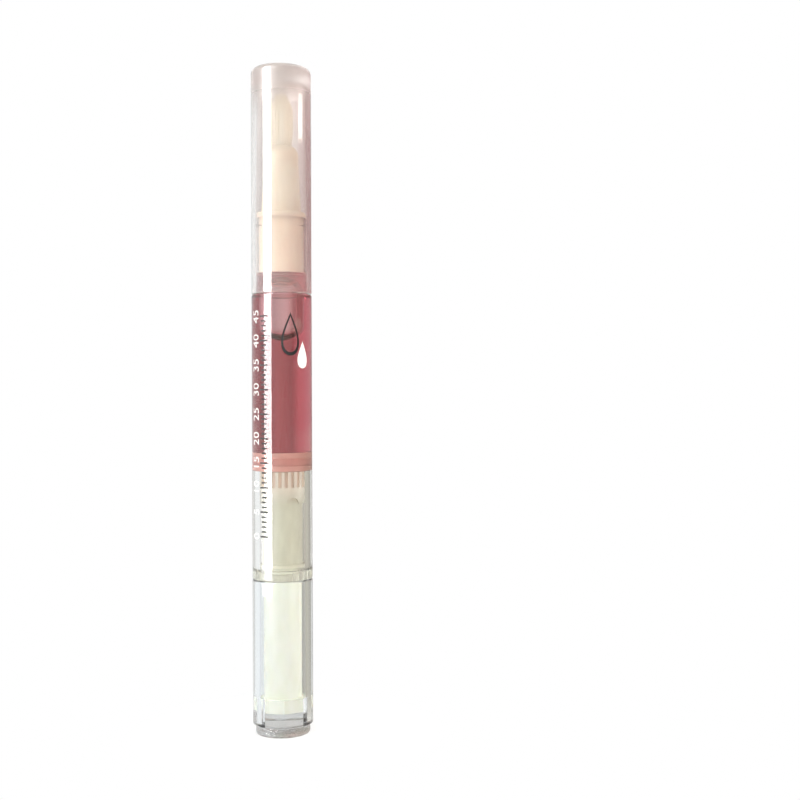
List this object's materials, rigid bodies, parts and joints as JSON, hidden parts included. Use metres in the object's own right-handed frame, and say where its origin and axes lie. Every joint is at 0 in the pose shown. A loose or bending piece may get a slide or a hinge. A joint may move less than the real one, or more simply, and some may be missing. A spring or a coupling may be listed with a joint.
{
  "type": "nail oil pen",
  "caption": "Clear twist pen for nail oil: slip cap over a brush nozzle, oil-filled barrel with a screw-driven piston, and a turning tail knob; stands upright.",
  "frame": {"origin": "centre of the flat base of the tail plug, on which the pen stands", "axes": "+Z along the pen from the tail knob to the cap; -Y towards the side the picture shows"},
  "size_m": [0.0112, 0.0112, 0.124],
  "materials": {
    "clear_plastic": "gloss",
    "pink_oil": "gloss",
    "cream_plastic": "satin",
    "milky_plastic": "satin",
    "white_plastic": "satin",
    "rod_plastic": "satin",
    "seal_rubber": "satin",
    "tube_plastic": "gloss",
    "filament": "satin"
  },
  "bodies": {
    "barrel": {"barrel_tube": "clear_plastic", "guide_nut": "milky_plastic", "oil_fill": "pink_oil", "nozzle": "cream_plastic", "feed_tube": "tube_plastic", "tuft_collar": "cream_plastic", "bristle_tuft": "filament"},
    "cap": {"cap_shell": "clear_plastic"},
    "knob": {"tail_shell": "clear_plastic", "end_plug": "clear_plastic", "drive_sleeve": "white_plastic", "click_ring": "rod_plastic"},
    "rod": {"screw_rod": "rod_plastic"},
    "piston": {"piston": "seal_rubber"}
  },
  "joints": [
    {"name": "cap_pull", "type": "slide", "parent": "barrel", "child": "cap", "axis": [0, 0, 1], "range_m": [0, 0.05]},
    {"name": "knob_twist", "type": "hinge", "parent": "barrel", "child": "knob", "pos_m": [0, 0, 0], "axis": [0, 0, 1], "range_deg": [0, 8290]},
    {"name": "rod_advance", "type": "slide", "parent": "knob", "child": "rod", "axis": [0, 0, 1], "range_m": [0, 0.0322]},
    {"name": "piston_advance", "type": "slide", "parent": "barrel", "child": "piston", "axis": [0, 0, 1], "range_m": [0, 0.0323], "deforming": ["oil_fill"]}
  ],
  "couplings": [
    {"joint": "knob_twist", "follows": "rod_advance", "rad_per_m": 4488},
    {"joint": "piston_advance", "follows": "rod_advance", "ratio": 1}
  ]
}
